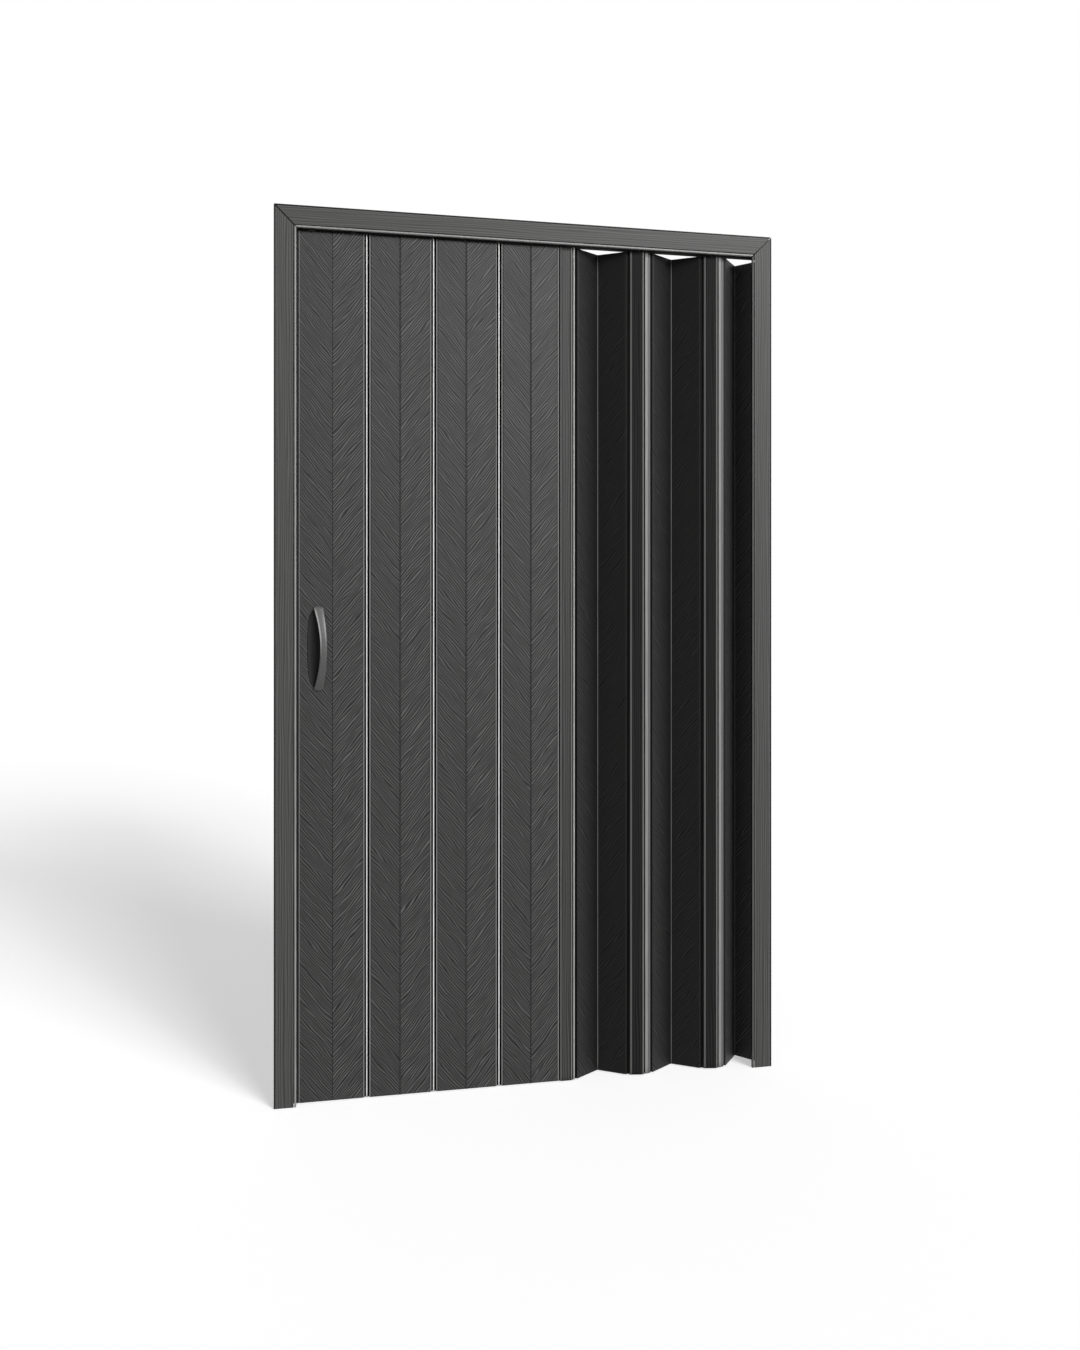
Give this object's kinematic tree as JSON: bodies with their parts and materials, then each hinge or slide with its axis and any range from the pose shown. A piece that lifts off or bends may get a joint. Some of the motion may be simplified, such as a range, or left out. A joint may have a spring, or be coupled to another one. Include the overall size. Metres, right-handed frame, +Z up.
{
  "type": "accordion door",
  "caption": "Dark PVC accordion door in a mitred three-sided frame, part drawn to one side, with chevron wood-grain leaves, light hinge seams, a hidden top track and a bow pull handle.",
  "frame": {"origin": "middle of the header's top face, where the frame meets the lintel", "axes": "+X to the right along the track, +Y to the rear of the door, +Z up"},
  "size_m": [1.2, 0.091, 2.05],
  "materials": {
    "frame_pvc": "graphite PVC with embossed straight wood grain, satin",
    "leaf_pvc": "dark graphite PVC with embossed chevron wood grain, satin",
    "seam_pvc": "light grey soft PVC, smooth",
    "valley_pvc": "grey soft PVC, smooth",
    "handle_grip": "moulded grey plastic, satin",
    "handle_cup": "moulded black plastic, matt",
    "track_aluminium": "mill",
    "steel": "zinc plated",
    "nylon": "natural nylon",
    "magnet": "bonded magnet strip"
  },
  "bodies": {
    "frame": {"left_jamb": "frame_pvc", "right_jamb": "frame_pvc", "header": "frame_pvc", "corner_keys": "steel", "top_track": "track_aluminium", "track_screws": "steel", "track_end_stops": "nylon", "strike_strip": "steel", "fixed_hinge_post": "leaf_pvc", "fixed_post_screws": "steel"},
    "bay_7_right": {"leaf_7_right": "leaf_pvc", "valley_bead_7": "valley_pvc"},
    "bay_7_left": {"leaf_7_left": "leaf_pvc"},
    "post_right": {"stack_post_right": "leaf_pvc", "stack_post_right_nose": "seam_pvc", "stack_right_glider": "nylon"},
    "bay_6_right": {"leaf_6_right": "leaf_pvc", "valley_bead_6": "valley_pvc"},
    "bay_6_left": {"leaf_6_left": "leaf_pvc"},
    "post_left": {"stack_post_left": "leaf_pvc", "stack_post_left_nose": "seam_pvc", "stack_left_glider": "nylon"},
    "bay_5_right": {"leaf_5_right": "leaf_pvc", "valley_bead_5": "valley_pvc"},
    "bay_5_left": {"leaf_5_left": "leaf_pvc"},
    "post_closing": {"closing_post": "leaf_pvc", "closing_post_nose": "seam_pvc", "closing_post_glider": "nylon"},
    "bay_4_right": {"leaf_4_right": "leaf_pvc", "valley_bead_4": "valley_pvc"},
    "bay_4_left": {"leaf_4_left": "leaf_pvc"},
    "bay_3_right": {"leaf_3_right": "leaf_pvc", "valley_bead_3": "valley_pvc", "seam_bead_3": "seam_pvc", "seam_glider_3": "nylon"},
    "bay_3_left": {"leaf_3_left": "leaf_pvc"},
    "bay_2_right": {"leaf_2_right": "leaf_pvc", "valley_bead_2": "valley_pvc", "seam_bead_2": "seam_pvc", "seam_glider_2": "nylon"},
    "bay_2_left": {"leaf_2_left": "leaf_pvc"},
    "lead": {"lead_panel": "leaf_pvc", "lead_edge": "leaf_pvc", "magnet_strip": "magnet", "handle_cup_front": "handle_cup", "handle_grip_front": "handle_grip", "handle_cup_rear": "handle_cup", "handle_grip_rear": "handle_grip", "handle_screws": "steel", "lead_gliders": "nylon", "seam_bead_1": "seam_pvc"}
  },
  "joints": [
    {"name": "stack_fold", "type": "hinge", "parent": "frame", "child": "bay_7_right", "pos_m": [0.58904, 0, -1.0505], "axis": [0, 0, -1], "range_deg": [0, 29]},
    {"name": "valley_7", "type": "hinge", "parent": "bay_7_right", "child": "bay_7_left", "pos_m": [0.53483, 0.05582, -1.0505], "axis": [0, 0, 1], "range_deg": [0, 58]},
    {"name": "ridge_7", "type": "hinge", "parent": "bay_7_left", "child": "post_right", "pos_m": [0.48062, 0, -1.0505], "axis": [0, 0, 1], "range_deg": [-29, 0]},
    {"name": "ridge_6_right", "type": "hinge", "parent": "post_right", "child": "bay_6_right", "pos_m": [0.42862, 0, -1.0505], "axis": [0, 0, 1], "range_deg": [-46, 0]},
    {"name": "valley_6", "type": "hinge", "parent": "bay_6_right", "child": "bay_6_left", "pos_m": [0.36045, 0.03753, -1.0505], "axis": [0, 0, 1], "range_deg": [0, 92]},
    {"name": "ridge_6_left", "type": "hinge", "parent": "bay_6_left", "child": "post_left", "pos_m": [0.29229, 0, -1.0505], "axis": [0, 0, 1], "range_deg": [-46, 0]},
    {"name": "ridge_5_right", "type": "hinge", "parent": "post_left", "child": "bay_5_right", "pos_m": [0.24029, 0, -1.0505], "axis": [0, 0, 1], "range_deg": [-46, 0]},
    {"name": "valley_5", "type": "hinge", "parent": "bay_5_right", "child": "bay_5_left", "pos_m": [0.17212, 0.03753, -1.0505], "axis": [0, 0, 1], "range_deg": [0, 92]},
    {"name": "ridge_5_left", "type": "hinge", "parent": "bay_5_left", "child": "post_closing", "pos_m": [0.10396, 0, -1.0505], "axis": [0, 0, 1], "range_deg": [-46, 0]},
    {"name": "curtain_fold", "type": "hinge", "parent": "post_closing", "child": "bay_4_right", "pos_m": [0.07396, 0, -1.0505], "axis": [0, 0, -1], "range_deg": [0, 80]},
    {"name": "valley_4", "type": "hinge", "parent": "bay_4_right", "child": "bay_4_left", "pos_m": [-0.00354, -0.007, -1.0505], "axis": [0, 0, 1], "range_deg": [0, 160]},
    {"name": "seam_3", "type": "hinge", "parent": "bay_4_left", "child": "bay_3_right", "pos_m": [-0.08104, 0, -1.0505], "axis": [0, 0, 1], "range_deg": [-160, 0]},
    {"name": "valley_3", "type": "hinge", "parent": "bay_3_right", "child": "bay_3_left", "pos_m": [-0.15854, -0.007, -1.0505], "axis": [0, 0, 1], "range_deg": [0, 160]},
    {"name": "seam_2", "type": "hinge", "parent": "bay_3_left", "child": "bay_2_right", "pos_m": [-0.23604, 0, -1.0505], "axis": [0, 0, 1], "range_deg": [-160, 0]},
    {"name": "valley_2", "type": "hinge", "parent": "bay_2_right", "child": "bay_2_left", "pos_m": [-0.31354, -0.007, -1.0505], "axis": [0, 0, 1], "range_deg": [0, 160]},
    {"name": "seam_1", "type": "hinge", "parent": "bay_2_left", "child": "lead", "pos_m": [-0.39104, 0, -1.0505], "axis": [0, 0, 1], "range_deg": [-80, 0]}
  ],
  "couplings": [
    {"joint": "valley_7", "follows": "stack_fold", "ratio": 2},
    {"joint": "ridge_7", "follows": "stack_fold", "ratio": -1},
    {"joint": "ridge_6_right", "follows": "stack_fold", "ratio": -1.5862},
    {"joint": "valley_6", "follows": "stack_fold", "ratio": 3.1724},
    {"joint": "ridge_6_left", "follows": "stack_fold", "ratio": -1.5862},
    {"joint": "ridge_5_right", "follows": "stack_fold", "ratio": -1.5862},
    {"joint": "valley_5", "follows": "stack_fold", "ratio": 3.1724},
    {"joint": "ridge_5_left", "follows": "stack_fold", "ratio": -1.5862},
    {"joint": "valley_4", "follows": "curtain_fold", "ratio": 2},
    {"joint": "seam_3", "follows": "curtain_fold", "ratio": -2},
    {"joint": "valley_3", "follows": "curtain_fold", "ratio": 2},
    {"joint": "seam_2", "follows": "curtain_fold", "ratio": -2},
    {"joint": "valley_2", "follows": "curtain_fold", "ratio": 2},
    {"joint": "seam_1", "follows": "curtain_fold", "ratio": -1}
  ]
}
